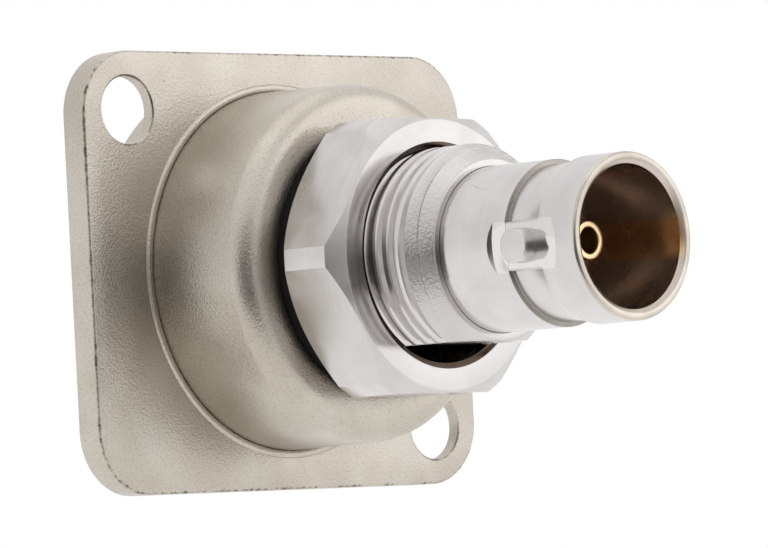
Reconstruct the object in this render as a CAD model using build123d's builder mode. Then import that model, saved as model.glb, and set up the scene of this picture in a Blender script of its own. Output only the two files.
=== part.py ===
from build123d import *
import os

os.makedirs("parts", exist_ok=True)

# A panel housing that carries a double-ended coaxial bayonet socket.
# Frame: millimetres, +Z up. The socket's axis is Y. The nut side faces -Y and the panel side +Y.
# The origin lies on the axis, in the flange's mounting face, which faces -Y.

# Flange
flange_width = 31.0
flange_height = 26.0
flange_thickness = 1.8
flange_corner = 3.8
flange_rear_chamfer = 0.22
screw_inset = 3.5
screw_hole_diameter = 4.0
countersink_diameter = 6.1
countersink_angle = 90.0

# Boss behind the flange
boss_wall = 4.21
boss_height = 7.7
boss_edge_round = 1.35
land_width = 0.34
land_height = 0.25

# Raised ring on the panel side, and the recess in it
ring_wall = 3.7
ring_height = 2.2
recess_depth = 4.0

# Socket body: thread, shoulder and the press bore for the rear barrel
thread_diameter = 12.5
thread_length = 17.15
flat_depth = 0.95
shoulder_thickness = 1.6
shoulder_chamfer = 0.3
run_out_length = 0.55
run_out_depth = 0.4
cone_length = 0.85
entry_chamfer = 0.4
press_depth = 5.85

# Seat beyond the thread, as wide under the shoulder as under the nut
seat_width = 1.75

# Bayonet barrels, the same at both ends; the ratio is to the thread's diameter
barrel_ratio = 0.772
barrel_wall = 0.7
front_barrel_length = 10.0
rear_barrel_length = 10.7
cavity_depth = 8.6
mouth_chamfer = 0.12
lead_in_width = 0.3
lead_in_depth = 0.22
band_length = 2.8
neck_depth = 0.325
neck_length = 0.6
step_setback = 5.55
lug_diameter = 2.0
lug_height = 0.675
lug_setback = 4.13
lug_root = 0.15
spotface_diameter = 5.2
spotface_depth = 0.225

# Insulators and centre contact; the ratios are to the thread's diameter
insulator_ratio = 0.52
contact_ratio = 0.1792
contact_wall = 0.37
contact_bore_depth = 5.5
contact_setback = 3.4
contact_entry_chamfer = 0.12
collar_height = 0.58
collar_length = 1.0

# Nut and washers
nut_corner_height = 0.9
nut_thickness = 4.95
nut_chamfer_depth = 0.8
nut_face_inset = 0.09
nut_bore_chamfer = 0.3
washer_thickness = 0.75
gasket_thickness = 0.7

# Clearances on the radius
thread_clearance = 0.05
panel_bore_clearance = 0.15
recess_clearance = 0.3
fit_clearance = 0.02

# Radii of the socket
thread_radius = thread_diameter / 2
flat_distance = thread_radius - flat_depth
seat_radius = thread_radius + seat_width
barrel_radius = thread_radius * barrel_ratio
bore_radius = barrel_radius - barrel_wall
neck_radius = barrel_radius - neck_depth
lug_tip = barrel_radius + lug_height
spotface_distance = barrel_radius - spotface_depth
insulator_radius = thread_radius * insulator_ratio
insulator_bore_radius = insulator_radius + fit_clearance
contact_radius = thread_radius * contact_ratio
contact_bore_radius = contact_radius - contact_wall
collar_radius = contact_radius + collar_height
nut_face_radius = seat_radius - nut_face_inset
nut_corner_radius = seat_radius + nut_corner_height

# Radii of the housing, from the thread and the shoulder that it holds
through_bore_radius = thread_radius + panel_bore_clearance
boss_radius = through_bore_radius + boss_wall
recess_radius = seat_radius + recess_clearance
ring_radius = recess_radius + ring_wall

# Stations along the axis
ring_face = flange_thickness + ring_height
recess_floor = ring_face - recess_depth
shoulder_rear = recess_floor + gasket_thickness
shoulder_front = shoulder_rear + shoulder_thickness
front_mouth = shoulder_front + front_barrel_length
thread_end = shoulder_rear - thread_length
body_end = thread_end - run_out_length - cone_length
rear_mouth = body_end - rear_barrel_length
press_seat = body_end + press_depth
front_floor = front_mouth - cavity_depth
rear_floor = rear_mouth + cavity_depth
insulator_joint = (front_floor + rear_floor) / 2
nut_seat = -boss_height - washer_thickness

# Planes seen from the panel side and from the nut side
panel_side = Plane(origin=(0, flange_thickness, 0), x_dir=(-1, 0, 0), z_dir=(0, 1, 0))
nut_side = Plane.XZ


# Outline of one bayonet barrel, from inside its mouth over the band and the neck to its step
def barrel_outline(mouth, inward):
    lead_in = (mouth + inward * lead_in_depth, bore_radius)
    rim_inner = (mouth, bore_radius + lead_in_width)
    rim_outer = (mouth, barrel_radius - mouth_chamfer)
    band_start = (mouth + inward * mouth_chamfer, barrel_radius)
    band_end = (mouth + inward * band_length, barrel_radius)
    neck_start = (mouth + inward * (step_setback - neck_length), neck_radius)
    step_foot = (mouth + inward * step_setback, neck_radius)
    step_top = (mouth + inward * step_setback, barrel_radius)
    Polyline(lead_in, rim_inner, rim_outer, band_start, band_end)
    neck = TangentArc(neck_start, band_end, tangent=(-inward, 0), mode=Mode.PRIVATE)
    Polyline(band_end, neck @ 0.5, neck_start, step_foot, step_top)
    return lead_in, step_top


# Two lugs on opposite sides of a barrel, each left standing in the flat of a hollow mill
def mill_lugs(mouth, inward):
    lug_station = mouth + inward * lug_setback
    for side in (1, -1):
        with BuildSketch(Plane.YZ.offset(side * spotface_distance)) as spotface:
            with Locations((lug_station, 0)):
                Circle(spotface_diameter / 2)
                Circle(lug_diameter / 2, mode=Mode.SUBTRACT)
        extrude(spotface.sketch, amount=side * barrel_radius, mode=Mode.SUBTRACT)
        with BuildSketch(Plane.YZ.offset(side * (spotface_distance - lug_root))) as lug:
            with Locations((lug_station, 0)):
                Circle(lug_diameter / 2)
        extrude(lug.sketch, amount=side * (lug_tip - spotface_distance + lug_root))


# Round bore outline with a flat at the bottom, for a thread that must not turn
def flatted_circle(radius, distance):
    Circle(radius)
    with Locations((0, -distance - radius)):
        Rectangle(2 * radius, 2 * radius, mode=Mode.SUBTRACT)


# Housing: flange, boss, raised ring and bores, cast in one
screw_x = flange_width / 2 - screw_inset
screw_z = flange_height / 2 - screw_inset
round_start = (-boss_height, boss_radius - boss_edge_round)
round_end = (boss_edge_round - boss_height, boss_radius)
with BuildPart() as housing:
    with BuildSketch(nut_side):
        RectangleRounded(flange_width, flange_height, flange_corner)
    extrude(amount=-flange_thickness)
    chamfer(housing.faces().sort_by(Axis.Y)[0].edges(), flange_rear_chamfer)
    with BuildSketch(Plane.YZ):
        with BuildLine():
            # The boss's edge is a quarter round drawn as three flats
            edge_round = RadiusArc(round_start, round_end, boss_edge_round, mode=Mode.PRIVATE)
            Polyline(
                (0, 0),
                (-boss_height, 0),
                round_start,
                edge_round @ (1 / 3),
                edge_round @ (2 / 3),
                round_end,
                (-land_height, boss_radius),
                (-land_height, boss_radius + land_width),
                (0, boss_radius + land_width),
                close=True,
            )
        make_face()
    revolve(axis=Axis.Y)
    with BuildSketch(panel_side):
        Circle(ring_radius)
    extrude(amount=ring_height)
    with BuildSketch(panel_side.offset(ring_height)):
        Circle(recess_radius)
    extrude(amount=-recess_depth, mode=Mode.SUBTRACT)
    with BuildSketch(nut_side.offset(boss_height)):
        flatted_circle(through_bore_radius, flat_distance + panel_bore_clearance)
    extrude(amount=-boss_height - ring_face, mode=Mode.SUBTRACT)
    with Locations(panel_side):
        with Locations((screw_x, screw_z), (-screw_x, -screw_z)):
            CounterSinkHole(
                radius=screw_hole_diameter / 2,
                counter_sink_radius=countersink_diameter / 2,
                depth=flange_thickness,
                counter_sink_angle=countersink_angle,
            )
housing.part.label = "housing"
export_step(housing.part, "parts/housing.step")

# Socket body: front barrel, shoulder and thread, turned in one, with a bore for the rear barrel
with BuildPart() as socket_body:
    with BuildSketch(Plane.YZ):
        with BuildLine():
            lead_in, step_top = barrel_outline(front_mouth, -1)
            Polyline(
                step_top,
                (shoulder_front, barrel_radius),
                (shoulder_front, seat_radius - shoulder_chamfer),
                (shoulder_front - shoulder_chamfer, seat_radius),
                (shoulder_rear, seat_radius),
                (shoulder_rear, thread_radius),
                (thread_end, thread_radius),
                (thread_end - run_out_length, thread_radius - run_out_depth),
                (body_end, barrel_radius + fit_clearance + entry_chamfer),
                (body_end + entry_chamfer, barrel_radius + fit_clearance),
                (press_seat, barrel_radius + fit_clearance),
                (press_seat, insulator_bore_radius),
                (front_floor, insulator_bore_radius),
                (front_floor, bore_radius),
                lead_in,
            )
        make_face()
    revolve(axis=Axis.Y)
    mill_lugs(front_mouth, -1)
    with BuildSketch(Plane.XY.offset(-flat_distance)):
        with Locations((0, (shoulder_rear + body_end) / 2)):
            Rectangle(thread_diameter, shoulder_rear - body_end)
    extrude(amount=-thread_radius, mode=Mode.SUBTRACT)
socket_body.part.label = "socket_body"
export_step(socket_body.part, "parts/socket_body.step")

# Rear barrel, pressed into the body's end
with BuildPart() as rear_barrel:
    with BuildSketch(Plane.YZ):
        with BuildLine():
            lead_in, step_top = barrel_outline(rear_mouth, 1)
            Polyline(
                step_top,
                (press_seat, barrel_radius),
                (press_seat, insulator_bore_radius),
                (rear_floor, insulator_bore_radius),
                (rear_floor, bore_radius),
                lead_in,
            )
        make_face()
    revolve(axis=Axis.Y)
    mill_lugs(rear_mouth, 1)
rear_barrel.part.label = "rear_barrel"
export_step(rear_barrel.part, "parts/rear_barrel.step")

# Insulators, one from each end, which meet around the contact's collar
for name, floor, inward in (("front_insulator", front_floor, -1), ("rear_insulator", rear_floor, 1)):
    with BuildPart() as insulator:
        with BuildSketch(Plane.YZ):
            with BuildLine():
                Polyline(
                    (floor, contact_radius + fit_clearance),
                    (floor, insulator_radius),
                    (insulator_joint, insulator_radius),
                    (insulator_joint, collar_radius + fit_clearance),
                    (insulator_joint - inward * collar_length / 2, collar_radius + fit_clearance),
                    (insulator_joint - inward * collar_length / 2, contact_radius + fit_clearance),
                    close=True,
                )
            make_face()
        revolve(axis=Axis.Y)
    insulator.part.label = name
    export_step(insulator.part, f"parts/{name}.step")

# Centre contact, a socket at both ends, held by its collar
front_tip = front_mouth - contact_setback
rear_tip = rear_mouth + contact_setback
with BuildPart() as centre_contact:
    with BuildSketch(Plane.YZ):
        with BuildLine():
            Polyline(
                (front_tip, contact_bore_radius + contact_entry_chamfer),
                (front_tip, contact_radius),
                (insulator_joint + collar_length / 2, contact_radius),
                (insulator_joint + collar_length / 2, collar_radius),
                (insulator_joint - collar_length / 2, collar_radius),
                (insulator_joint - collar_length / 2, contact_radius),
                (rear_tip, contact_radius),
                (rear_tip, contact_bore_radius + contact_entry_chamfer),
                (rear_tip + contact_entry_chamfer, contact_bore_radius),
                (rear_tip + contact_bore_depth, contact_bore_radius),
                (rear_tip + contact_bore_depth, 0),
                (front_tip - contact_bore_depth, 0),
                (front_tip - contact_bore_depth, contact_bore_radius),
                (front_tip - contact_entry_chamfer, contact_bore_radius),
                close=True,
            )
        make_face()
    revolve(axis=Axis.Y)
centre_contact.part.label = "centre_contact"
export_step(centre_contact.part, "parts/centre_contact.step")

# Hexagon nut with its corners turned off and both faces chamfered
with BuildPart() as hex_nut:
    with BuildSketch(nut_side.offset(-nut_seat)):
        RegularPolygon(seat_radius, 6, major_radius=False)
    extrude(amount=nut_thickness)
    with BuildSketch(Plane.YZ):
        with BuildLine():
            Polyline(
                (nut_seat, 0),
                (nut_seat, nut_face_radius),
                (nut_seat - nut_chamfer_depth, nut_corner_radius),
                (nut_seat - nut_thickness + nut_chamfer_depth, nut_corner_radius),
                (nut_seat - nut_thickness, nut_face_radius),
                (nut_seat - nut_thickness, 0),
                close=True,
            )
        make_face()
    revolve(axis=Axis.Y, mode=Mode.INTERSECT)
    with BuildSketch(nut_side.offset(-nut_seat)):
        Circle(thread_radius + thread_clearance)
    extrude(amount=nut_thickness, mode=Mode.SUBTRACT)
    chamfer(hex_nut.faces().sort_by(Axis.Y)[0].edges().sort_by(SortBy.RADIUS)[0], nut_bore_chamfer)
    chamfer(hex_nut.faces().sort_by(Axis.Y)[-1].edges().sort_by(SortBy.RADIUS)[0], nut_bore_chamfer)
hex_nut.part.label = "hex_nut"
export_step(hex_nut.part, "parts/hex_nut.step")

# Washer between the boss and the nut
with BuildPart() as rear_washer:
    with BuildSketch(nut_side.offset(boss_height)):
        Circle(nut_face_radius)
        Circle(through_bore_radius, mode=Mode.SUBTRACT)
    extrude(amount=washer_thickness)
rear_washer.part.label = "rear_washer"
export_step(rear_washer.part, "parts/rear_washer.step")

# Gasket under the body's shoulder
with BuildPart() as front_gasket:
    with BuildSketch(nut_side.offset(-recess_floor)):
        Circle(seat_radius)
        Circle(through_bore_radius, mode=Mode.SUBTRACT)
    extrude(amount=-gasket_thickness)
front_gasket.part.label = "front_gasket"
export_step(front_gasket.part, "parts/front_gasket.step")
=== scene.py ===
import math

import bmesh
import bpy
from mathutils import Matrix, Vector


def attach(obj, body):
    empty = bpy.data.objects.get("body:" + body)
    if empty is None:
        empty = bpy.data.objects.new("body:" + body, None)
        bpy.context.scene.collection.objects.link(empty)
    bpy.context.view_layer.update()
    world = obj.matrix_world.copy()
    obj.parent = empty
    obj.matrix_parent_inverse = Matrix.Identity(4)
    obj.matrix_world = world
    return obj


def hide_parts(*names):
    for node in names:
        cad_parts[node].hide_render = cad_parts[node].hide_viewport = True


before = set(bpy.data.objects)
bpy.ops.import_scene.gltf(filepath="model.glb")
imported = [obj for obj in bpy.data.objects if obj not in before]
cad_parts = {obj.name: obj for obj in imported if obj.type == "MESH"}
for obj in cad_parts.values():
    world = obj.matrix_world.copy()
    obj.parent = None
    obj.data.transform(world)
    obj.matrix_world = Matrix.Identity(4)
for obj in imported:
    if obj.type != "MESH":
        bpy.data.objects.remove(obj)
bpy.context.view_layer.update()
mm = 0.001
samePoint = 1e-6  # metres: points closer than this are one point
sameLevel = 1e-7
largeSteps, ringSteps, smallSteps, holeSteps, lugSteps = 192, 160, 96, 72, 48  # sides of a full turn


# Camera: turned and tilted round the object's origin, then rolled, as the photograph was taken
photoCamera = {
    "turn": 44.83,
    "tilt": -2.59,
    "roll": 3.06,
    "distance": 0.41055,
    "offsetRight": -0.0059404,
    "offsetUp": 0.0001744,
    "lens": 323.4,
    "sensorWidth": 36,
    "clipStart": 0.01,
}


def levelAxes(turn):
    # the camera's right and back while it is still level
    right = Vector((math.cos(turn), -math.sin(turn), 0))
    back = Vector((-math.sin(turn), -math.cos(turn), 0))
    return right, back


def turnAxes(first, second, angle):
    # two axes turned together in their own plane
    newFirst = first * math.cos(angle) - second * math.sin(angle)
    newSecond = first * math.sin(angle) + second * math.cos(angle)
    return newFirst, newSecond


def placeCamera(values):
    right, back = levelAxes(math.radians(values["turn"]))
    up, back = turnAxes(Vector((0, 0, 1)), back, math.radians(values["tilt"]))
    right, up = turnAxes(right, up, math.radians(values["roll"]))
    spot = back * values["distance"] - right * values["offsetRight"] - up * values["offsetUp"]
    bpy.ops.object.camera_add(location=spot)
    camera = bpy.context.object
    camera.name = "photoCamera"
    camera.matrix_world = Matrix((
        (right.x, up.x, back.x, spot.x),
        (right.y, up.y, back.y, spot.y),
        (right.z, up.z, back.z, spot.z),
        (0, 0, 0, 1),
    ))
    camera.data.lens = values["lens"]
    camera.data.sensor_width = values["sensorWidth"]
    camera.data.clip_start = values["clipStart"]
    bpy.context.scene.camera = camera


# Small steps that every piece uses
def selectOnly(piece):
    bpy.ops.object.select_all(action="DESELECT")
    piece.select_set(True)
    bpy.context.view_layer.objects.active = piece


def openForEditing(piece):
    selectOnly(piece)
    bpy.ops.object.mode_set(mode="EDIT")
    bpy.ops.mesh.select_mode(type="VERT")
    bpy.ops.mesh.select_all(action="SELECT")


def closeEditing():
    bpy.ops.object.mode_set(mode="OBJECT")


def selectWhere(piece, test, kind="VERT"):
    bpy.ops.mesh.select_mode(type=kind)
    bpy.ops.mesh.select_all(action="DESELECT")
    mesh = bmesh.from_edit_mesh(piece.data)
    for thing in {"VERT": mesh.verts, "EDGE": mesh.edges}[kind]:
        if test(thing):
            thing.select_set(True)
    mesh.select_flush_mode()
    bmesh.update_edit_mesh(piece.data)


def tidyMesh():
    bpy.ops.mesh.select_mode(type="VERT")
    bpy.ops.mesh.select_all(action="SELECT")
    bpy.ops.mesh.remove_doubles(threshold=samePoint)
    bpy.ops.mesh.normals_make_consistent(inside=False)


def applyModifiers(piece):
    selectOnly(piece)
    for step in list(piece.modifiers):
        bpy.ops.object.modifier_apply(modifier=step.name)


def combine(piece, tool, operation):
    step = piece.modifiers.new(operation.lower(), "BOOLEAN")
    step.operation = operation
    step.solver = "EXACT"
    step.object = tool
    applyModifiers(piece)
    bpy.data.objects.remove(tool)


def softenEdges(piece, width, angle=60, segments=3):
    step = piece.modifiers.new("soften", "BEVEL")
    step.width = width * mm
    step.segments = segments
    step.limit_method = "ANGLE"
    step.angle_limit = math.radians(angle)
    step.use_clamp_overlap = True
    applyModifiers(piece)


def nameNewPiece(name):
    # the new piece keeps its place in its mesh
    piece = bpy.context.object
    piece.name = name
    bpy.ops.object.transform_apply(location=True, rotation=True, scale=True)
    return piece


def squareBlock(name, middle, size):
    place = [part * mm for part in middle]
    bpy.ops.object.select_all(action="DESELECT")
    bpy.ops.mesh.primitive_cube_add(size=mm, location=place, scale=size)
    return nameNewPiece(name)


def roundRod(name, radius, start, end, steps, station=None):
    # along the socket's axis, or across it at a station
    middle = (start + end) / 2 * mm
    if station is None:
        place, turn = (0, middle, 0), (math.pi / 2, 0, 0)
    else:
        place, turn = (middle, station * mm, 0), (0, math.pi / 2, 0)
    bpy.ops.object.select_all(action="DESELECT")
    bpy.ops.mesh.primitive_cylinder_add(
        vertices=steps, radius=radius * mm, depth=(end - start) * mm, location=place, rotation=turn)
    return nameNewPiece(name)


def traceOutline(name, outline, closed=True):
    # outline points are (place along Y, radius, corner round), in millimetres
    bpy.ops.object.select_all(action="DESELECT")
    bpy.ops.mesh.primitive_plane_add(size=mm)
    piece = bpy.context.object
    piece.name = name
    openForEditing(piece)
    bpy.ops.mesh.merge(type="CENTER")
    bpy.ops.transform.translate(value=(0, outline[0][0] * mm, outline[0][1] * mm))
    stops = outline + outline[:1] if closed else outline
    for here, there in zip(stops, stops[1:]):
        move = (0, (there[0] - here[0]) * mm, (there[1] - here[1]) * mm)
        bpy.ops.mesh.extrude_vertices_move(TRANSFORM_OT_translate={"value": move})
    bpy.ops.mesh.select_all(action="SELECT")
    bpy.ops.mesh.remove_doubles(threshold=sameLevel)
    for along, radius, corner in outline:
        if corner:
            spot = Vector((0, along * mm, radius * mm))
            selectWhere(piece, lambda vert: (vert.co - spot).length < samePoint)
            bpy.ops.mesh.bevel(offset=corner * mm, segments=5, affect="VERTICES")
    return piece


def turnPiece(name, outline, steps=largeSteps):
    piece = traceOutline(name, outline)
    bpy.ops.mesh.select_all(action="SELECT")
    bpy.ops.mesh.spin(steps=steps, angle=math.tau, center=(0, 0, 0), axis=(0, 1, 0))
    tidyMesh()
    closeEditing()
    return piece


def movePiece(piece, x, z):
    openForEditing(piece)
    bpy.ops.transform.translate(value=(x * mm, 0, z * mm))
    closeEditing()


def rotatePiece(piece, degrees):
    # round the socket's axis
    openForEditing(piece)
    bpy.ops.transform.rotate(value=math.radians(degrees), orient_axis="Y", center_override=(0, 0, 0))
    closeEditing()


# Housing: flange with two countersunk holes, boss, and the ring on the panel side
housingShape = {
    "width": 31.0,
    "height": 26.0,
    "thickness": 1.8,
    "corner": 3.8,
    "cornerSteps": 14,
    "rearRound": 0.18,
    "frontRound": 0.12,
    "roundSteps": 4,
    "plateBore": 9.4,  # filled again by the boss's core
    "screwX": 12.0,
    "screwZ": 9.5,
    "screwRadius": 2.0,
    "screwChamfer": 0.08,
    "sinkRadius": 3.05,
    "bossHeight": 7.7,
    "bossTop": 10.54,
    "bossRoot": 10.675,
    "bossRound": 1.35,
    "beadRadius": 11.14,
    "beadHeight": 0.13,
    "beadSteps": 8,
    "ringRadius": 12.0,
    "ringFace": 4.0,
    "ringRound": 0.6,
    "recessRadius": 8.3,
    "recessRound": 0.25,
    "boreRadius": 6.4,
    "boreRound": 0.15,
    "cutterStart": -1,
    "cutterEnd": 3,
    "pastFace": 0.02,
}


def makeFlange(values):
    thickness = values["thickness"]
    size = (values["width"], thickness, values["height"])
    flange = squareBlock("flangeHousing", (0, thickness / 2, 0), size)
    openForEditing(flange)
    selectWhere(flange, lambda edge: abs(edge.verts[0].co.y - edge.verts[1].co.y) > samePoint, "EDGE")
    bpy.ops.mesh.bevel(offset=values["corner"] * mm, segments=values["cornerSteps"], affect="EDGES")
    for face, amount in ((0, values["rearRound"]), (thickness * mm, values["frontRound"])):
        selectWhere(flange, lambda edge: all(abs(end.co.y - face) < sameLevel for end in edge.verts), "EDGE")
        bpy.ops.mesh.bevel(offset=amount * mm, segments=values["roundSteps"], affect="EDGES")
    closeEditing()
    bore = roundRod("plateBore", values["plateBore"], values["cutterStart"], values["cutterEnd"], ringSteps)
    combine(flange, bore, "DIFFERENCE")
    return flange


def makeBossCore(values):
    # the bead round the boss's foot is half round
    foot, steps = values["bossRoot"], values["beadSteps"]
    half = (values["beadRadius"] - foot) / 2
    bead = []
    for index in range(steps + 1):
        angle = math.pi * index / steps
        bead.append((-values["beadHeight"] * math.sin(angle), foot + half * (1 + math.cos(angle)), 0))
    middle = values["thickness"] / 2
    return turnPiece("bossCore", [
        (values["ringFace"], values["recessRadius"], values["recessRound"]),
        (values["ringFace"], values["ringRadius"], values["ringRound"]),
        (middle, values["ringRadius"], 0),
        (middle, values["beadRadius"], 0),
    ] + bead + [
        (-values["bossHeight"], values["bossTop"], values["bossRound"]),
        (-values["bossHeight"], values["boreRadius"], values["boreRound"]),
        (0, values["boreRadius"], 0),
        (0, values["recessRadius"], 0),
    ])


def makeHousing(values):
    housing = makeFlange(values)
    combine(housing, makeBossCore(values), "UNION")
    radius, sink, chamfer = values["screwRadius"], values["sinkRadius"], values["screwChamfer"]
    front = values["thickness"]
    drill = [
        (values["cutterStart"], 0, 0),
        (values["cutterStart"], radius + chamfer, 0),
        (0, radius + chamfer, 0),
        (chamfer, radius, 0),
        (front - sink + radius, radius, 0),
        (front, sink, 0),
        (front + values["pastFace"], sink, 0),
        (front + values["pastFace"], 0, 0),
    ]
    for side in (1, -1):
        drillBit = turnPiece("drillBit", drill, steps=holeSteps)
        movePiece(drillBit, -side * values["screwX"], side * values["screwZ"])
        combine(housing, drillBit, "DIFFERENCE")
    return housing


# Thread on the body, right-handed; the nut's grooves have the same pitch
threadShape = {
    "pitch": 0.907,
    "crestRadius": 6.25,
    "rootRadius": 5.78,
    "crestWidth": 0.36,
    "rootWidth": 0.06,
    "crestRound": 0.05,
    "rootRound": 0.03,
    "phase": -0.23,
    "start": -18.4,
    "end": 1.4,
    "spareTurns": 3,
    "steps": 96,
}


def makeThreadBlank(values):
    # one tooth is traced, wound into a helix, and cut off square at both ends
    start, end, pitch = values["start"], values["end"], values["pitch"]
    crest = values["crestWidth"]
    flank = (pitch - crest - values["rootWidth"]) / 2
    first = math.floor(start / pitch) * pitch - pitch + values["phase"]
    piece = traceOutline("threadBlank", [
        (first, values["crestRadius"], 0),
        (first + crest, values["crestRadius"], values["crestRound"]),
        (first + crest + flank, values["rootRadius"], values["rootRound"]),
        (first + pitch - flank, values["rootRadius"], values["rootRound"]),
        (first + pitch, values["crestRadius"], 0),
    ], closed=False)
    closeEditing()
    step = piece.modifiers.new("helix", "SCREW")
    step.axis = "Y"
    step.screw_offset = pitch * mm
    step.iterations = math.ceil((end - start) / pitch) + values["spareTurns"]
    step.steps = values["steps"]
    step.render_steps = values["steps"]
    step.use_merge_vertices = True
    step.merge_threshold = samePoint
    applyModifiers(piece)
    openForEditing(piece)
    bpy.ops.mesh.remove_doubles(threshold=2 * samePoint)
    for cut, outward in ((start, -1), (end, 1)):
        bpy.ops.mesh.select_all(action="SELECT")
        bpy.ops.mesh.bisect(
            plane_co=(0, cut * mm, 0), plane_no=(0, outward, 0), use_fill=True, clear_outer=True,
            threshold=sameLevel)
    tidyMesh()
    closeEditing()
    return piece


# Barrel sizes, the same at both ends; lengths are measured back from the mouth
barrelShape = {
    "radius": 4.825,
    "bore": 4.125,
    "boreRound": 0.05,
    "leadWidth": 0.3,
    "leadDepth": 0.22,
    "leadRound": 0.1,
    "mouthRound": 0.17,
    "bandLength": 2.8,
    "neckStart": 4.95,
    "neckRadius": 4.5,
    "neckSteps": 8,
    "neckRound": 0.05,
    "step": 5.55,
    "stepRound": 0.04,
    "lugStation": 4.22,
    "lugRadius": 1.0,
    "lugFoot": 4.4,
    "lugTip": 5.5,
    "lugRound": 0.06,
    "millRadius": 2.7,
    "millEnd": 8,
    "flat": 4.6,
    "padSize": (0.36, 2.96, 2.84),
    "padSink": 0.002,  # below the milled flat
    "padShift": 0.05,  # towards the mouth
    "padRound": 0.12,
}


def barrelOutline(values, mouth, inward):
    # rim, band, then the neck's curve, which meets the neck without a corner
    run = values["neckStart"] - values["bandLength"]
    rise = values["radius"] - values["neckRadius"]
    bend = (run * run + rise * rise) / (2 * rise)
    sweep = math.asin(run / bend)
    curve = []
    for index in range(values["neckSteps"] + 1):
        angle = sweep * (1 - index / values["neckSteps"])
        along = values["neckStart"] - bend * math.sin(angle)
        curve.append((mouth + inward * along, values["neckRadius"] + bend * (1 - math.cos(angle)), 0))
    step = mouth + inward * values["step"]
    return [
        (mouth + inward * values["leadDepth"], values["bore"], values["boreRound"]),
        (mouth, values["bore"] + values["leadWidth"], values["leadRound"]),
        (mouth, values["radius"], values["mouthRound"]),
    ] + curve + [
        (step, values["neckRadius"], values["neckRound"]),
        (step, values["radius"], values["stepRound"]),
    ]


def millLugs(piece, values, mouth, inward):
    # on each side: a hollow mill's flat, a level pad that closes the neck's groove, and the lug
    station = mouth + inward * values["lugStation"]
    padMiddle = values["flat"] - values["padSink"] - values["padSize"][0] / 2
    for side in (1, -1):
        near, far = sorted((side * values["flat"], side * values["millEnd"]))
        mill = roundRod("hollowMill", values["millRadius"], near, far, smallSteps, station)
        combine(piece, mill, "DIFFERENCE")
        place = (side * padMiddle, station - inward * values["padShift"], 0)
        pad = squareBlock("padBlock", place, values["padSize"])
        softenEdges(pad, values["padRound"])
        combine(piece, pad, "UNION")
        near, far = sorted((side * values["lugFoot"], side * values["lugTip"]))
        lug = roundRod("lug", values["lugRadius"], near, far, lugSteps, station)
        softenEdges(lug, values["lugRound"])
        combine(piece, lug, "UNION")


# Socket body: threaded rear half with its flat, shoulder and panel-side barrel
bodyShape = {
    "threadStart": 0.9,
    "threadEnd": -16.45,
    "crestMargin": 0.02,
    "runOutEnd": -17.0,
    "runOutRadius": 5.85,
    "bodyEnd": -17.85,
    "coneRadius": 5.245,
    "edgeRound": 0.1,
    "entryDepth": 0.05,
    "entryWidth": 0.02,
    "pressRadius": 4.835,
    "pressSeat": -12.0,
    "flatDistance": 5.23,
    "flatCutter": (14, 19.4, 4),
    "flatMiddle": -9,
    "insulatorRadius": 3.27,
    "shoulderRadius": 8.0,
    "shoulderRound": 0.3,
    "shoulderRear": 0.7,
    "shoulderFront": 2.3,
    "frontMouth": 12.3,
    "frontFloor": 3.7,
}


def makeThreadedHalf(values, thread):
    crest = thread["crestRadius"] + values["crestMargin"]
    body = turnPiece("threadedBody", [
        (values["threadStart"], values["insulatorRadius"], 0),
        (values["threadStart"], crest, 0),
        (values["threadEnd"], crest, 0),
        (values["runOutEnd"], values["runOutRadius"], values["edgeRound"]),
        (values["bodyEnd"], values["coneRadius"], values["edgeRound"]),
        (values["bodyEnd"], values["pressRadius"] + values["entryWidth"], 0),
        (values["bodyEnd"] + values["entryDepth"], values["pressRadius"], 0),
        (values["pressSeat"], values["pressRadius"], 0),
        (values["pressSeat"], values["insulatorRadius"], 0),
    ])
    combine(body, makeThreadBlank(thread), "INTERSECT")
    level = -(values["flatDistance"] + values["flatCutter"][2] / 2)
    cutter = squareBlock("flatCutter", (0, values["flatMiddle"], level), values["flatCutter"])
    combine(body, cutter, "DIFFERENCE")
    return body


def makeBody(values, barrel, thread):
    body = makeThreadedHalf(values, thread)
    front = turnPiece("frontEnd", barrelOutline(barrel, values["frontMouth"], -1) + [
        (values["shoulderFront"], barrel["radius"], values["edgeRound"]),
        (values["shoulderFront"], values["shoulderRadius"], values["shoulderRound"]),
        (values["shoulderRear"], values["shoulderRadius"], values["edgeRound"]),
        (values["shoulderRear"], values["insulatorRadius"], 0),
        (values["frontFloor"], values["insulatorRadius"], 0),
        (values["frontFloor"], barrel["bore"], 0),
    ])
    millLugs(front, barrel, values["frontMouth"], -1)
    selectOnly(body)
    front.select_set(True)
    bpy.ops.object.join()
    return body


# Rear barrel: pressed into the body, slightly turned
rearBarrelShape = {
    "mouth": -28.55,
    "pressEnd": bodyShape["pressSeat"],
    "floor": -19.95,
    "insulatorRadius": bodyShape["insulatorRadius"],
    "pressedTurn": 2.6,
}


def makeRearBarrel(values, barrel):
    piece = turnPiece("bayonetBarrel", barrelOutline(barrel, values["mouth"], 1) + [
        (values["pressEnd"], barrel["radius"], 0),
        (values["pressEnd"], values["insulatorRadius"], 0),
        (values["floor"], values["insulatorRadius"], 0),
        (values["floor"], barrel["bore"], 0),
    ])
    millLugs(piece, barrel, values["mouth"], 1)
    rotatePiece(piece, values["pressedTurn"])
    return piece


# Nut: hexagon with turned corners, countersunk and tapped
nutShape = {
    "acrossFlats": 16.0,
    "cornerRadius": 8.9,
    "cornerRound": 0.04,
    "faceRadius": 7.91,
    "faceRound": 0.02,
    "chamfer": 0.8,
    "seat": -8.45,
    "face": -13.4,
    "spare": 0.5,
    "sinkRadius": 6.62,
    "sinkDepth": 0.2,
    "tapMajor": 6.58,
    "tapMinor": 6.28,
}


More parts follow.
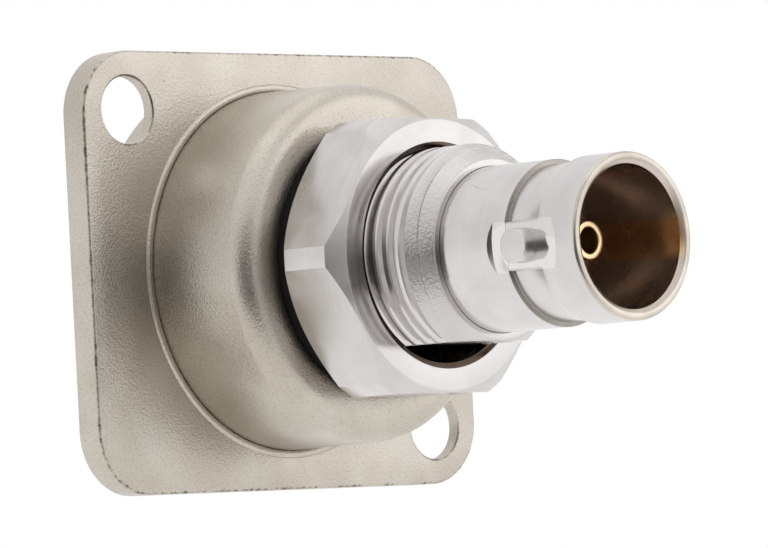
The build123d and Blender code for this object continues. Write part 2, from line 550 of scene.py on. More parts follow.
def makeNut(values, pitch):
    seat, face, chamfer = values["seat"], values["face"], values["chamfer"]
    corner = values["acrossFlats"] / 2 / math.cos(math.pi / 6)
    nut = roundRod("clampNut", corner, face - values["spare"], seat + values["spare"], 6)
    rotatePiece(nut, 90)
    # the blank is turned with its bore, where ring grooves clear of the body's crests stand for the thread
    start, end = face + values["sinkDepth"], seat - values["sinkDepth"]
    blank = [
        (seat, values["sinkRadius"], 0),
        (seat, values["faceRadius"], values["faceRound"]),
        (seat - chamfer, values["cornerRadius"], values["cornerRound"]),
        (face + chamfer, values["cornerRadius"], values["cornerRound"]),
        (face, values["faceRadius"], values["faceRound"]),
        (face, values["sinkRadius"], 0),
        (start, values["tapMinor"], 0),
    ]
    while start + pitch < end:
        blank.append((start + pitch / 2, values["tapMajor"], 0))
        start += pitch
        blank.append((start, values["tapMinor"], 0))
    blank.append((end, values["tapMinor"], 0))
    combine(nut, turnPiece("nutBlank", blank), "INTERSECT")
    return nut


# Dark washer under the nut, and the gasket under the body's shoulder
washerShape = {
    "start": -housingShape["bossHeight"],
    "end": nutShape["seat"],
    "bore": housingShape["boreRadius"],
    "radius": nutShape["faceRadius"],
    "innerRound": 0.1,
    "outerRound": 0.12,
}
gasketShape = {
    "start": 0,
    "end": bodyShape["shoulderRear"],
    "bore": housingShape["boreRadius"],
    "radius": bodyShape["shoulderRadius"],
    "innerRound": 0.1,
    "outerRound": 0.1,
}


def makeFlatRing(name, values):
    return turnPiece(name, [
        (values["start"], values["bore"], values["innerRound"]),
        (values["start"], values["radius"], values["outerRound"]),
        (values["end"], values["radius"], values["outerRound"]),
        (values["end"], values["bore"], values["innerRound"]),
    ], steps=ringSteps)


# Contact: one turned rod with a collar, bored from both ends
contactShape = {
    "radius": 1.12,
    "bore": 0.75,
    "tipRound": 0.1,
    "collarRadius": 1.7,
    "collarRound": 0.05,
    "frontTip": 8.9,
    "frontBoreEnd": 3.4,
    "frontPoint": 2.95,
    "collarFront": -7.625,
    "collarRear": -8.625,
    "rearPoint": -19.2,
    "rearBoreEnd": -19.65,
    "rearTip": -25.15,
}


def makeContact(values):
    return turnPiece("contactTube", [
        (values["frontTip"], values["bore"], values["tipRound"]),
        (values["frontTip"], values["radius"], values["tipRound"]),
        (values["collarFront"], values["radius"], 0),
        (values["collarFront"], values["collarRadius"], values["collarRound"]),
        (values["collarRear"], values["collarRadius"], values["collarRound"]),
        (values["collarRear"], values["radius"], 0),
        (values["rearTip"], values["radius"], values["tipRound"]),
        (values["rearTip"], values["bore"], values["tipRound"]),
        (values["rearBoreEnd"], values["bore"], 0),
        (values["rearPoint"], 0, 0),
        (values["frontPoint"], 0, 0),
        (values["frontBoreEnd"], values["bore"], 0),
    ], steps=smallSteps)


# Insulators: a low nose round the contact; lengths are measured inward from the nose
insulatorShape = {
    "bore": 1.14,
    "noseRadius": 2.3,
    "noseFoot": 2.45,
    "noseHeight": 0.25,
    "noseRound": 0.05,
    "radius": 3.25,
    "length": 11.825,
    "collarRadius": 1.72,
    "collarDepth": 0.5,
}


def makeInsulator(name, values, face, inward):
    collar = values["length"] - values["collarDepth"]
    outline = [
        (0, values["bore"], 0),
        (0, values["noseRadius"], values["noseRound"]),
        (values["noseHeight"], values["noseFoot"], values["noseRound"]),
        (values["noseHeight"], values["radius"], 0),
        (values["length"], values["radius"], 0),
        (values["length"], values["collarRadius"], 0),
        (collar, values["collarRadius"], 0),
        (collar, values["bore"], 0),
    ]
    placed = [(face + inward * along, radius, corner) for along, radius, corner in outline]
    return turnPiece(name, placed, steps=smallSteps)


# Nodes: short helpers, then the effects that more than one material uses
def addNode(tree, kind, settings=None, inputs=None):
    node = tree.nodes.new("ShaderNode" + kind)
    for name, value in (settings or {}).items():
        setattr(node, name, value)
    for name, value in (inputs or {}).items():
        if isinstance(value, bpy.types.NodeSocket):
            tree.links.new(value, node.inputs[name])
        else:
            node.inputs[name].default_value = value
    return node


def compute(tree, operation, first, second=0.0, third=0.0, clamp=False):
    settings = {"operation": operation, "use_clamp": clamp}
    return addNode(tree, "Math", settings, {0: first, 1: second, 2: third}).outputs[0]


def rampBetween(tree, value, low, high):
    settings = {"clamp": True, "interpolation_type": "SMOOTHSTEP"}
    inputs = {"Value": value, "From Min": low, "From Max": high}
    return addNode(tree, "MapRange", settings, inputs).outputs["Result"]


def blendColours(tree, mask, first, second):
    inputs = {"Factor": mask, 6: first, 7: second}
    return addNode(tree, "Mix", {"data_type": "RGBA"}, inputs).outputs[2]


def blendTones(tree, first, second, share):
    return compute(tree, "MULTIPLY_ADD", first, share, compute(tree, "MULTIPLY", second, 1 - share))


def addNoise(tree, place, scale, **others):
    return addNode(tree, "TexNoise", None, {"Vector": place, "Scale": scale, **others}).outputs["Fac"]


def splitPlace(tree, place):
    return addNode(tree, "SeparateXYZ", None, {0: place}).outputs


def planeLength(tree, across, upward):
    squares = compute(tree, "MULTIPLY_ADD", across, across, compute(tree, "MULTIPLY", upward, upward))
    return compute(tree, "SQRT", squares)


def startGroup(name, extraInputs, outputs):
    group = bpy.data.node_groups.new(name, "ShaderNodeTree")
    group.interface.new_socket(name="Vector", in_out="INPUT", socket_type="NodeSocketVector")
    for label in ["Scale"] + extraInputs:
        group.interface.new_socket(name=label, in_out="INPUT", socket_type="NodeSocketFloat")
    for label in outputs:
        group.interface.new_socket(name=label, in_out="OUTPUT", socket_type="NodeSocketFloat")
    given = group.nodes.new("NodeGroupInput").outputs
    return group, given, group.nodes.new("NodeGroupOutput").inputs


grainPattern = {
    "detail": 3.0,
    "roughness": 0.55,
    "cellScale": 0.8,
    "cellSoftness": 0.6,
    "cellShare": 0.6,
    "pitFrom": 0.47,
    "pitTo": 0.34,
}


def makeSandGrain(values):
    # small soft pits and grains, as blasting leaves
    group, given, result = startGroup("sandGrain", [], ["Height", "Pits"])
    place, scale = given["Vector"], given["Scale"]
    fine = addNoise(group, place, scale, Detail=values["detail"], Roughness=values["roughness"])
    larger = compute(group, "MULTIPLY", scale, values["cellScale"])
    inputs = {"Vector": place, "Scale": larger, "Smoothness": values["cellSoftness"]}
    cells = addNode(group, "TexVoronoi", {"feature": "SMOOTH_F1"}, inputs).outputs["Distance"]
    height = compute(group, "MULTIPLY_ADD", cells, values["cellShare"], fine)
    group.links.new(height, result["Height"])
    group.links.new(rampBetween(group, fine, values["pitFrom"], values["pitTo"]), result["Pits"])
    return group


linePattern = {"faceScale": 1.31, "detail": 2.0, "roughness": 0.6, "toneFrom": 0.3, "toneTo": 0.7}


def makeTurningLines(values):
    # fine rings round the Y axis, on cylinders, cones and faces alike
    group, given, result = startGroup("turningLines", ["Drift"], ["Height", "Tone"])
    parts = splitPlace(group, given["Vector"])
    radius = planeLength(group, parts["X"], parts["Z"])
    station = compute(group, "MULTIPLY_ADD", radius, values["faceScale"], parts["Y"])
    along = compute(group, "MULTIPLY", station, given["Scale"])
    across = compute(group, "MULTIPLY", parts["X"], given["Drift"])
    upward = compute(group, "MULTIPLY", parts["Z"], given["Drift"])
    place = addNode(group, "CombineXYZ", None, {"X": along, "Y": across, "Z": upward}).outputs[0]
    fine = addNoise(group, place, 1.0, Detail=values["detail"], Roughness=values["roughness"])
    group.links.new(fine, result["Height"])
    group.links.new(rampBetween(group, fine, values["toneFrom"], values["toneTo"]), result["Tone"])
    return group


patchPattern = {"detail": 2.0, "distortion": 0.3, "toneFrom": 0.3, "toneTo": 0.7}


def makePatches(values):
    # slow change of tone from handling and plating
    group, given, result = startGroup("patches", [], ["Tone"])
    smooth = {"Detail": values["detail"], "Distortion": values["distortion"]}
    slow = addNoise(group, given["Vector"], given["Scale"], **smooth)
    group.links.new(rampBetween(group, slow, values["toneFrom"], values["toneTo"]), result["Tone"])
    return group


speckPattern = {"finer": 5.0, "detail": 1.0, "wobble": 0.12, "drawnFrom": 0.86, "drawnTo": 0.9}


def makeSpecks(values):
    # few small dark marks: dirt in pits and missing plating
    group, given, result = startGroup("specks", ["Size"], ["Mask"])
    finer = compute(group, "MULTIPLY", given["Scale"], values["finer"])
    wobble = addNoise(group, given["Vector"], finer, Detail=values["detail"])
    inputs = {"Vector": given["Vector"], "Scale": given["Scale"]}
    cells = addNode(group, "TexVoronoi", {"feature": "F1"}, inputs).outputs
    lot = addNode(group, "SeparateColor", None, {0: cells["Color"]}).outputs[0]
    drawn = rampBetween(group, lot, values["drawnFrom"], values["drawnTo"])
    near = compute(group, "MULTIPLY_ADD", wobble, values["wobble"], cells["Distance"])
    spot = compute(group, "LESS_THAN", near, given["Size"])
    group.links.new(compute(group, "MULTIPLY", spot, drawn), result["Mask"])
    return group


scuffPattern = {
    "turns": ((0.3, 0.5, 0.9), (1.2, -0.4, -0.5)),
    "stretch": (0.02, 1.0, 1.0),
    "line": 0.5,
    "lineWidth": 0.012,
    "coarser": 0.5,
    "gateFrom": 0.6,
    "gateTo": 0.7,
}


def makeScuffs(values):
    # long thin handling scratches, in two directions
    group, given, result = startGroup("scuffs", [], ["Mask"])
    masks = []
    for turn in values["turns"]:
        inputs = {"Vector": given["Vector"], "Rotation": turn}
        turned = addNode(group, "Mapping", {"vector_type": "POINT"}, inputs).outputs[0]
        longer = addNode(group, "VectorMath", {"operation": "MULTIPLY"}, {0: turned, 1: values["stretch"]})
        lines = addNoise(group, longer.outputs[0], given["Scale"], Detail=0.0)
        besideLine = compute(group, "ABSOLUTE", compute(group, "SUBTRACT", lines, values["line"]))
        masks.append(rampBetween(group, besideLine, values["lineWidth"], 0.0))
    coarser = compute(group, "MULTIPLY", given["Scale"], values["coarser"])
    gate = addNoise(group, given["Vector"], coarser)
    gate = rampBetween(group, gate, values["gateFrom"], values["gateTo"])
    either = compute(group, "MAXIMUM", masks[0], masks[1])
    group.links.new(compute(group, "MULTIPLY", either, gate), result["Mask"])
    return group


groups = {
    "sandGrain": makeSandGrain(grainPattern),
    "turningLines": makeTurningLines(linePattern),
    "patches": makePatches(patchPattern),
    "specks": makeSpecks(speckPattern),
    "scuffs": makeScuffs(scuffPattern),
}


def addEffect(tree, name, place, scale, **others):
    inputs = {"Vector": place, "Scale": scale, **others}
    return addNode(tree, "Group", {"node_tree": groups[name]}, inputs).outputs


# Materials
def startMaterial(name, values):
    material = bpy.data.materials.new(name)
    material.use_nodes = True
    tree = material.node_tree
    shader = tree.nodes["Principled BSDF"]
    for socket, value in values.items():
        shader.inputs[socket].default_value = value
    place = addNode(tree, "TexCoord").outputs["Object"]
    return material, tree, shader, place


def finishSkin(tree, shader, colour, rough, height, strength, depth):
    bump = addNode(tree, "Bump", None, {"Height": height, "Strength": strength, "Distance": depth})
    tree.links.new(colour, shader.inputs["Base Color"])
    tree.links.new(rough, shader.inputs["Roughness"])
    tree.links.new(bump.outputs["Normal"], shader.inputs["Normal"])


def dimmed(colour, share):
    return tuple(part * share for part in colour[:3]) + (1,)


def layTones(tree, place, values):
    # rings of turning, slow patches, and both as one tone
    rings = addEffect(tree, "turningLines", place, values["lineScale"], Drift=values["lineDrift"])
    patch = addEffect(tree, "patches", place, values["patchScale"])["Tone"]
    return rings, patch, blendTones(tree, rings["Tone"], patch, values["lineShare"])


# Casting: blasted nickel with dirt in its pits and a worn line along its edges, sizes in metres
castingFinish = {
    "light": (0.575, 0.535, 0.475, 1),
    "dark": (0.495, 0.452, 0.39, 1),
    "dirt": (0.14, 0.115, 0.09, 1),
    "roughness": 0.25,
    "grainRough": 0.12,
    "grainScale": 8500.0,
    "grainStrength": 0.7,
    "grainDepth": 0.000022,
    "patchScale": 180.0,
    "pitShade": 0.28,
    "speckScale": 460.0,
    "speckSize": 0.09,
    "raggedScale": 3200.0,
    "edgeLine": {"wander": 0.0003, "outer": 0.00031, "inner": 0.0002},
    "holeLine": {"wander": 0.00012, "outer": 0.00017, "inner": 0.00009},
    "holeMargin": 0.00004,
    "holeShade": 0.7,
    "brokenScale": 420.0,
    "brokenFrom": 0.44,
    "brokenTo": 0.5,
}


def pastCorner(tree, place, half, corner):
    # how far a point lies past the place where the plate's corner starts
    past = compute(tree, "SUBTRACT", compute(tree, "ABSOLUTE", place), half * mm - corner)
    return compute(tree, "MAXIMUM", past, 0.0)


def wornLine(tree, distance, ragged, line):
    wandering = compute(tree, "MULTIPLY_ADD", ragged, line["wander"], distance)
    return rampBetween(tree, wandering, line["outer"], line["inner"])


def makeWear(tree, place, values, plate):
    parts = splitPlace(tree, place)
    depth = compute(tree, "MAXIMUM", parts["Y"], 0.0)
    ragged = addNoise(tree, place, values["raggedScale"], Detail=2.0)
    # along the flange's rear edge: distance from the plate's rounded outline
    corner = plate["corner"] * mm
    sideX = pastCorner(tree, parts["X"], plate["width"] / 2, corner)
    sideZ = pastCorner(tree, parts["Z"], plate["height"] / 2, corner)
    inset = compute(tree, "SUBTRACT", corner, planeLength(tree, sideX, sideZ))
    edgeLine = wornLine(tree, compute(tree, "ADD", inset, depth), ragged, values["edgeLine"])
    # round the mouths of the two screw holes, which lie on one diagonal
    aside = compute(tree, "MULTIPLY", compute(tree, "SIGN", parts["Z"]), plate["screwX"] * mm)
    besideX = compute(tree, "ADD", parts["X"], aside)
    besideZ = compute(tree, "SUBTRACT", compute(tree, "ABSOLUTE", parts["Z"]), plate["screwZ"] * mm)
    mouth = plate["screwRadius"] * mm + values["holeMargin"]
    fromMouth = compute(tree, "SUBTRACT", planeLength(tree, besideX, besideZ), mouth)
    fromMouth = compute(tree, "ADD", compute(tree, "ABSOLUTE", fromMouth), depth)
    holeLine = wornLine(tree, fromMouth, ragged, values["holeLine"])
    holeLine = compute(tree, "MULTIPLY", holeLine, values["holeShade"])
    # both lines are broken here and there
    gate = addNoise(tree, place, values["brokenScale"], Detail=4.0)
    gate = rampBetween(tree, gate, values["brokenFrom"], values["brokenTo"])
    return compute(tree, "MULTIPLY", compute(tree, "MAXIMUM", edgeLine, holeLine), gate)


def makeCastingMaterial(values, plate):
    material, tree, shader, place = startMaterial("blastedNickel", {"Metallic": 1.0})
    grain = addEffect(tree, "sandGrain", place, values["grainScale"])
    patch = addEffect(tree, "patches", place, values["patchScale"])["Tone"]
    speck = addEffect(tree, "specks", place, values["speckScale"], Size=values["speckSize"])["Mask"]
    colour = blendColours(tree, patch, values["dark"], values["light"])
    pits = compute(tree, "MULTIPLY", grain["Pits"], values["pitShade"])
    colour = blendColours(tree, pits, colour, values["dirt"])
    marks = compute(tree, "MAXIMUM", makeWear(tree, place, values, plate), speck)
    colour = blendColours(tree, marks, colour, values["dirt"])
    rough = compute(tree, "MULTIPLY_ADD", grain["Height"], values["grainRough"], values["roughness"])
    finishSkin(tree, shader, colour, rough, grain["Height"], values["grainStrength"], values["grainDepth"])
    return material


# Turned nickel: fine rings with patches, scuffs and specks; each kind changes a few values
turnedFinish = {
    "light": (0.67, 0.652, 0.642, 1),
    "dark": (0.58, 0.558, 0.55, 1),
    "tint": 1.0,
    "stain": (0.30, 0.27, 0.25, 1),
    "roughness": 0.22,
    "patchRough": 0.08,
    "scuffRough": 0.15,
    "anisotropic": 0.6,
    "lineScale": 9000.0,
    "lineDrift": 90.0,
    "lineShare": 0.25,
    "lineDepth": 0.0000025,
    "skinStrength": 0.6,
    "sandScale": 7000.0,
    "sandShare": 2.0,
    "sandDepth": 0,
    "patchScale": 420.0,
    "scuffScale": 420.0,
    "scuffShade": 0.35,
    "speckScale": 560.0,
    "speckSize": 0.06,
    "speckShade": 0.7,
}
turnedKinds = {
    "turnedNickel": {},
    "nutNickel": {"roughness": 0.17, "lineDepth": 0.000002, "tint": 0.96, "anisotropic": 0.3},
    "chamferNickel": {"roughness": 0.36, "anisotropic": 0.2},
    "coneNickel": {"roughness": 0.34, "tint": 0.97, "anisotropic": 0.2, "sandDepth": 0.000022},
    "threadNickel": {"roughness": 0.13, "anisotropic": 0.2},
}


def makeTurnedMaterial(name, values):
    fixed = {"Metallic": 1.0, "Anisotropic": values["anisotropic"]}
    material, tree, shader, place = startMaterial(name, fixed)
    rings, patch, tone = layTones(tree, place, values)
    scuff = addEffect(tree, "scuffs", place, values["scuffScale"])["Mask"]
    speck = addEffect(tree, "specks", place, values["speckScale"], Size=values["speckSize"])["Mask"]
    dark, light = dimmed(values["dark"], values["tint"]), dimmed(values["light"], values["tint"])
    scuffMark = compute(tree, "MULTIPLY", scuff, values["scuffShade"])
    speckMark = compute(tree, "MULTIPLY", speck, values["speckShade"])
    marks = compute(tree, "MAXIMUM", scuffMark, speckMark)
    colour = blendColours(tree, marks, blendColours(tree, tone, dark, light), values["stain"])
    rough = compute(tree, "MULTIPLY_ADD", patch, values["patchRough"], values["roughness"])
    rough = compute(tree, "MULTIPLY_ADD", scuff, values["scuffRough"], rough)
    tangent = addNode(tree, "Tangent", {"direction_type": "RADIAL", "axis": "Y"}).outputs[0]
    tree.links.new(tangent, shader.inputs["Tangent"])
    height, depth = rings["Height"], values["lineDepth"]
    if values["sandDepth"]:
        sand = addEffect(tree, "sandGrain", place, values["sandScale"])["Height"]
        height = compute(tree, "MULTIPLY_ADD", sand, values["sandShare"], height)
        depth = values["sandDepth"]
    finishSkin(tree, shader, colour, rough, height, values["skinStrength"], depth)
    return material


# Polished metal: inside the mouth, with a painted reflection of the contact; on the rim; painted shade on
# the neck's step and in the nut's tapped bore; on milled flats; and the gilt contact
polishedFinish = {
    "lineScale": 7000.0,
    "lineDrift": 60.0,
    "lineShare": 0.5,
    "lineRough": 0.0,
    "lineDepth": 0.000002,
    "lineStrength": 0.3,
    "patchScale": 500.0,
    "patchRough": 0.05,
    "paintedContactReflection": None,
}
polishedKinds = {
    "boreNickel": {
        "light": (0.62, 0.54, 0.48, 1),
        "dark": (0.54, 0.46, 0.40, 1),
        "roughness": 0.25,
        # painted reflection of the gilt contact in the bore, as a warm band
        "paintedContactReflection": {"middle": 0.7, "edge": 1.5, "colour": (0.86, 0.58, 0.37, 1)},
    },
    "milledNickel": {"light": (0.70, 0.69, 0.68, 1), "dark": (0.64, 0.63, 0.62, 1), "roughness": 0.07},
    "rimNickel": {"light": (0.66, 0.61, 0.54, 1), "dark": (0.42, 0.37, 0.315, 1), "roughness": 0.2},
    # painted shade: a dark finish on the face of the neck's step, where shadow falls
    "stepShadeNickel": {"light": (0.42, 0.39, 0.36, 1), "dark": (0.30, 0.27, 0.25, 1), "roughness": 0.28},
    # painted shade: near-black finish in the nut's tapped bore, for the dark gap round the thread
    "tapShadeNickel": {"light": (0.22, 0.17, 0.135, 1), "dark": (0.13, 0.098, 0.076, 1), "roughness": 0.22},
    "goldPlate": {
        "light": (0.93, 0.74, 0.47, 1),
        "dark": (0.80, 0.58, 0.32, 1),
        "roughness": 0.16,
        "lineScale": 12000.0,
        "lineDrift": 200.0,
        "lineShare": 0.0,
        "lineRough": 0.1,
        "lineDepth": 0.000003,
        "lineStrength": 0.4,
        "patchScale": 900.0,
        "patchRough": 0.0,
    },
}


def makePolishedMaterial(name, values):
    material, tree, shader, place = startMaterial(name, {"Metallic": 1.0})
    rings, patch, tone = layTones(tree, place, values)
    colour = blendColours(tree, tone, values["dark"], values["light"])
    paintedContactReflection = values["paintedContactReflection"]
    if paintedContactReflection:
        # painted reflection of the gilt contact: a warm band across the bore, level with the contact
        height = compute(tree, "ABSOLUTE", splitPlace(tree, place)["Z"])
        mask = rampBetween(tree, height, paintedContactReflection["edge"] * mm, paintedContactReflection["middle"] * mm)
        colour = blendColours(tree, mask, colour, paintedContactReflection["colour"])
    rough = compute(tree, "MULTIPLY_ADD", patch, values["patchRough"], values["roughness"])
    rough = compute(tree, "MULTIPLY_ADD", rings["Tone"], values["lineRough"], rough)
    finishSkin(tree, shader, colour, rough, rings["Height"], values["lineStrength"], values["lineDepth"])
    return material


# Plastic of the insulators, and near-black rubber of the two rings; under the nut that black is also painted
# shade of the gap between nut and boss
darkFinish = {
    "specular": 0.2,
    "lineScale": 5000.0,
    "lineDrift": 50.0,
    "lineShare": 0.4,
    "patchScale": 350.0,
    "pitRough": 0.15,
    "grainStrength": 0.5,
}
darkKinds = {
    "darkPlastic": {
        "light": (0.16, 0.105, 0.075, 1),
        "dark": (0.11, 0.07, 0.05, 1),
        "roughness": 0.38,
        "grainScale": 3500.0,
        "grainDepth": 0.000006,
    },
    # near-black rubber; on the washer under the nut it is also painted shade of the gap
    "blackRubberAndGapShade": {
        "light": (0.010, 0.008, 0.007, 1),
        "dark": (0.005, 0.004, 0.004, 1),
        "roughness": 0.8,
        "grainScale": 5200.0,
        "grainDepth": 0.00002,
    },
}


def makeDarkMaterial(name, values):
    fixed = {"Metallic": 0.0, "Specular IOR Level": values["specular"]}
    material, tree, shader, place = startMaterial(name, fixed)
    grain = addEffect(tree, "sandGrain", place, values["grainScale"])
    tone = layTones(tree, place, values)[-1]
    colour = blendColours(tree, tone, values["dark"], values["light"])
    rough = compute(tree, "MULTIPLY_ADD", grain["Pits"], values["pitRough"], values["roughness"])
    finishSkin(tree, shader, colour, rough, grain["Height"], values["grainStrength"], values["grainDepth"])
    return material


# A second finish on the faces that a test picks by their place, in millimetres, and their normal
def coatWhere(piece, material, test):
    piece.data.materials.append(material)
    index = len(piece.data.materials) - 1
    for face in piece.data.polygons:
        if test(face.center / mm, face.normal):
            face.material_index = index


def fromAxis(spot):
    return math.hypot(spot.x, spot.z)


# Depths are measured inward from the mouth; a lean is the least share of the normal in a direction
barrelCoats = {
    "boreStart": 0.1,
    "boreEnd": 8.7,
    "boreReach": 4.3,
    "flatMargin": 0.08,
    "flatLean": 0.99,
    "rimDepth": 0.16,
    "rimMargin": 0.002,
    "stepMargin": 0.06,
    "stepLean": 0.3,
}


def coatBarrel(piece, coats, limits, barrel, mouth, inward):
    # the bore is dark and glossy, and the milled flats are bright
    station = mouth + inward * barrel["lugStation"]

    def isBore(spot, normal):
        outward = normal.x * spot.x + normal.z * spot.z
        depth = (spot.y - mouth) * inward
        inside = limits["boreStart"] < depth < limits["boreEnd"] and fromAxis(spot) < limits["boreReach"]
        return inside and outward < 0

    def isMilled(spot, normal):
        level = abs(normal.x) > limits["flatLean"]
        onFlat = abs(abs(spot.x) - barrel["flat"]) < limits["flatMargin"]
        return level and onFlat and math.hypot(spot.y - station, spot.z) < barrel["millRadius"]

    def isRim(spot, normal):
        shallow = (spot.y - mouth) * inward < limits["rimDepth"]
        inside = fromAxis(spot) < barrel["radius"] - limits["rimMargin"]
        return shallow and inside and not isBore(spot, normal)

    def isStep(spot, normal):
        depth = (spot.y - mouth) * inward
        return abs(depth - barrel["step"]) < limits["stepMargin"] and normal.y * inward < -limits["stepLean"]

    coatWhere(piece, coats["boreNickel"], isBore)
    coatWhere(piece, coats["milledNickel"], isMilled)
    coatWhere(piece, coats["rimNickel"], isRim)
    # painted shade on the face of the neck's step
    coatWhere(piece, coats["stepShadeNickel"], isStep)


bodyCoats = {
    "threadFrom": -12,
    "threadReach": 5.6,
    "flatLean": 0.99,
    "coneFrom": -16.46,
    "coneTo": -17.84,
    "coneReach": 5.2,
}


def coatBody(piece, coats, limits):
    def isThread(spot, normal):
        besideFlat = normal.z > -limits["flatLean"]
        onThread = limits["coneFrom"] < spot.y < limits["threadFrom"]
        return onThread and besideFlat and fromAxis(spot) > limits["threadReach"]

    def isCone(spot, normal):
        return limits["coneTo"] < spot.y < limits["coneFrom"] and fromAxis(spot) > limits["coneReach"]

    coatWhere(piece, coats["threadNickel"], isThread)
    coatWhere(piece, coats["coneNickel"], isCone)


nutCoats = {"chamferLean": 0.3, "faceLean": 0.95, "chamferReach": 7.8, "tapReach": 6.6}


def coatNut(piece, coats, limits):
    def isChamfer(spot, normal):
        sloping = limits["chamferLean"] < abs(normal.y) < limits["faceLean"]
        return sloping and fromAxis(spot) > limits["chamferReach"]

    def isTapped(spot, normal):
        return fromAxis(spot) < limits["tapReach"] and abs(normal.y) < limits["faceLean"]

    coatWhere(piece, coats["chamferNickel"], isChamfer)
    # painted shade of the gap between the nut's bore and the body's thread
    coatWhere(piece, coats["tapShadeNickel"], isTapped)


def finish(piece, material, node, angle=32):
    selectOnly(piece)
    bpy.ops.object.shade_smooth_by_angle(angle=math.radians(angle))
    piece.data.materials.clear()
    piece.data.materials.append(material)
    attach(piece, "root")
    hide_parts(node)


placeCamera(photoCamera)
print("camera placed")
castNickel = makeCastingMaterial(castingFinish, housingShape)
metals = {}
for name, changes in turnedKinds.items():
    metals[name] = makeTurnedMaterial(name, {**turnedFinish, **changes})
for name, changes in polishedKinds.items():
    metals[name] = makePolishedMaterial(name, {**polishedFinish, **changes})
darks = {name: makeDarkMaterial(name, {**darkFinish, **changes}) for name, changes in darkKinds.items()}
print("materials made")

finish(makeHousing(housingShape), castNickel, "housing")
print("housing made")
body = makeBody(bodyShape, barrelShape, threadShape)
finish(body, metals["turnedNickel"], "socket_body")
coatBarrel(body, metals, barrelCoats, barrelShape, bodyShape["frontMouth"], -1)
coatBody(body, metals, bodyCoats)
print("body made")
rearBarrel = makeRearBarrel(rearBarrelShape, barrelShape)
finish(rearBarrel, metals["turnedNickel"], "rear_barrel")
coatBarrel(rearBarrel, metals, barrelCoats, barrelShape, rearBarrelShape["mouth"], 1)
print("rear barrel made")
nut = makeNut(nutShape, threadShape["pitch"])
finish(nut, metals["nutNickel"], "hex_nut", angle=18)
coatNut(nut, metals, nutCoats)
print("nut made")
# the washer's near-black is partly its rubber, partly painted shade of the gap under the nut
finish(makeFlatRing("rearSeal", washerShape), darks["blackRubberAndGapShade"], "rear_washer")
finish(makeFlatRing("panelSeal", gasketShape), darks["blackRubberAndGapShade"], "front_gasket")
finish(makeContact(contactShape), metals["goldPlate"], "centre_contact")
rearInsulator = makeInsulator("rearInsulatorTurned", insulatorShape, rearBarrelShape["floor"], 1)
finish(rearInsulator, darks["darkPlastic"], "rear_insulator")
frontInsulator = makeInsulator("frontInsulatorTurned", insulatorShape, bodyShape["frontFloor"], -1)
finish(frontInsulator, darks["darkPlastic"], "front_insulator")
print("small pieces made")


# Studio: pale floor, white surroundings, two soft lamps and the dark room round the camera, in metres
studio = {
    "floorSize": 6,
    "floorHeight": -0.0131,
    "floorColour": (0.8, 0.8, 0.79, 1),
    "floorShade": 0.985,
    "floorPatches": 3.0,
    "floorGlow": 1.16,
    "worldStrength": 0.9,
    "lampHeight": 0.55,
    "lampSize": 0.5,
    "lampPower": 0.3,
    "sideLampPlace": (0.42, -0.44, 0.16),
    "sideLampTilt": 75,
    "sideLampTurn": 43.7,
    "sideLampPower": 0.6,
    "sideLampSize": 0.6,
    "cardLift": 0.0004,
    "cardNear": 0.034,
    "cardFar": 0.46,
    "cardFold": 0.01,
    "cardWidth": 2.4,
    "cardHeight": 0.8,
    "coreShade": 0.16,
    "coreFrom": 0.25,
    "coreTo": 0.5,
    "cardShade": 0.30,
    "darkCentre": -0.09,
    "darkWide": 0.95,
    "darkTall": 0.56,
    "darkSoft": 0.4,
}
white = (1, 1, 1, 1)


def coverWith(piece, material, first, second, mask):
    # two shaders mixed by a mask
    tree = material.node_tree
    mix = addNode(tree, "MixShader", None, {0: mask, 1: first, 2: second})
    tree.links.new(mix.outputs[0], tree.nodes["Material Output"].inputs["Surface"])
    piece.data.materials.append(material)


def makeFloor(values):
    bpy.ops.object.select_all(action="DESELECT")
    bpy.ops.mesh.primitive_plane_add(size=values["floorSize"], location=(0, 0, values["floorHeight"]))
    floor = bpy.context.object
    floor.name = "floor"
    material, tree, shader, place = startMaterial("floorPaint", {"Roughness": 0.8})
    cloudy = addEffect(tree, "patches", place, values["floorPatches"])["Tone"]
    shaded = dimmed(values["floorColour"], values["floorShade"])
    tree.links.new(blendColours(tree, cloudy, values["floorColour"], shaded), shader.inputs["Base Color"])
    # metal sees the floor as plain white, and from below it can be looked through
    glow = addNode(tree, "Emission", None, {"Color": white, "Strength": values["floorGlow"]}).outputs[0]
    mirrored = addNode(tree, "LightPath").outputs["Is Glossy Ray"]
    top = addNode(tree, "MixShader", None, {0: mirrored, 1: shader.outputs[0], 2: glow}).outputs[0]
    clear = addNode(tree, "BsdfTransparent").outputs[0]
    coverWith(floor, material, top, clear, addNode(tree, "NewGeometry").outputs["Backfacing"])


def foldCard(card, values, towards, aside):
    # a floor strip in front of the object, with a wall at its far end
    openForEditing(card)
    mesh = bmesh.from_edit_mesh(card.data)
    for vert in mesh.verts:
        reach = values["cardFar"] if vert.co.y > 0 else values["cardNear"]
        place = towards * reach + aside * (values["cardWidth"] / 2) * vert.co.x
        vert.co = (place.x, place.y, values["floorHeight"] + values["cardLift"])
    bmesh.update_edit_mesh(card.data)
    farEnd = values["cardFar"] - values["cardFold"]
    selectWhere(card, lambda edge: all(vert.co.dot(towards) > farEnd for vert in edge.verts), "EDGE")
    bpy.ops.mesh.extrude_region_move(TRANSFORM_OT_translate={"value": (0, 0, values["cardHeight"])})
    closeEditing()


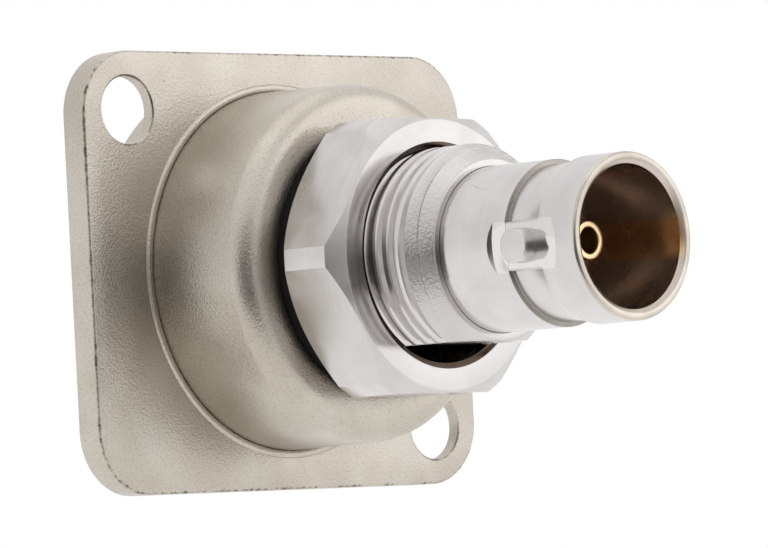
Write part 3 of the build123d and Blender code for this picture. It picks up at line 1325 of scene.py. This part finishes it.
def makeDarkCard(values, camera):
    # the unlit room behind the camera: seen only in reflections, and darkest towards the camera
    aside, towards = levelAxes(math.radians(camera["turn"]))
    bpy.ops.object.select_all(action="DESELECT")
    bpy.ops.mesh.primitive_plane_add(size=2)
    card = bpy.context.object
    card.name = "darkCard"
    foldCard(card, values, towards, aside)
    material, tree, shader, place = startMaterial("cardCloth", {})
    tree.nodes.remove(shader)
    way = addNode(tree, "VectorMath", {"operation": "NORMALIZE"}, {0: place}).outputs["Vector"]
    sideways = addNode(tree, "VectorMath", {"operation": "DOT_PRODUCT"}, {0: way, 1: tuple(aside)})
    sideways = compute(tree, "DIVIDE", sideways.outputs["Value"], values["darkWide"])
    rise = compute(tree, "SUBTRACT", splitPlace(tree, way)["Z"], values["darkCentre"])
    rise = compute(tree, "DIVIDE", rise, values["darkTall"])
    fade = rampBetween(tree, planeLength(tree, rise, sideways), values["darkSoft"], 1.0)
    core = rampBetween(tree, compute(tree, "ABSOLUTE", rise), values["coreFrom"], values["coreTo"])
    shade = blendColours(tree, core, dimmed(white, values["coreShade"]), dimmed(white, values["cardShade"]))
    dark = addNode(tree, "BsdfDiffuse", None, {"Color": shade}).outputs[0]
    clear = addNode(tree, "BsdfTransparent").outputs[0]
    coverWith(card, material, dark, clear, fade)
    card.visible_camera = False
    card.visible_diffuse = False
    card.visible_shadow = False


def addLamp(name, size, power, place, turn=(0, 0, 0)):
    bpy.ops.object.light_add(type="AREA", location=place, rotation=turn)
    lamp = bpy.context.object
    lamp.name = name
    lamp.data.size = size
    lamp.data.energy = power


def makeLight(values):
    addLamp("topLamp", values["lampSize"], values["lampPower"], (0, 0, values["lampHeight"]))
    # the second lamp, to the right, lights the faces that look towards the nut side
    turn = (math.radians(values["sideLampTilt"]), 0, math.radians(values["sideLampTurn"]))
    addLamp("sideLamp", values["sideLampSize"], values["sideLampPower"], values["sideLampPlace"], turn)
    # the surroundings are plain white to the camera and in reflections, and softer as a light
    world = bpy.data.worlds.new("studioWorld")
    bpy.context.scene.world = world
    world.use_nodes = True
    tree = world.node_tree
    soft = tree.nodes["Background"]
    soft.inputs["Color"].default_value = white
    soft.inputs["Strength"].default_value = values["worldStrength"]
    plain = addNode(tree, "Background", None, {"Color": white, "Strength": 1.0}).outputs[0]
    path = addNode(tree, "LightPath").outputs
    seen = compute(tree, "ADD", path["Is Camera Ray"], path["Is Glossy Ray"])
    seen = compute(tree, "ADD", seen, path["Is Transmission Ray"], clamp=True)
    mix = addNode(tree, "MixShader", None, {0: seen, 1: soft.outputs[0], 2: plain})
    tree.links.new(mix.outputs[0], tree.nodes["World Output"].inputs[0])


makeFloor(studio)
makeDarkCard(studio, photoCamera)
makeLight(studio)
bpy.context.scene.view_settings.view_transform = "Standard"
print("studio made")
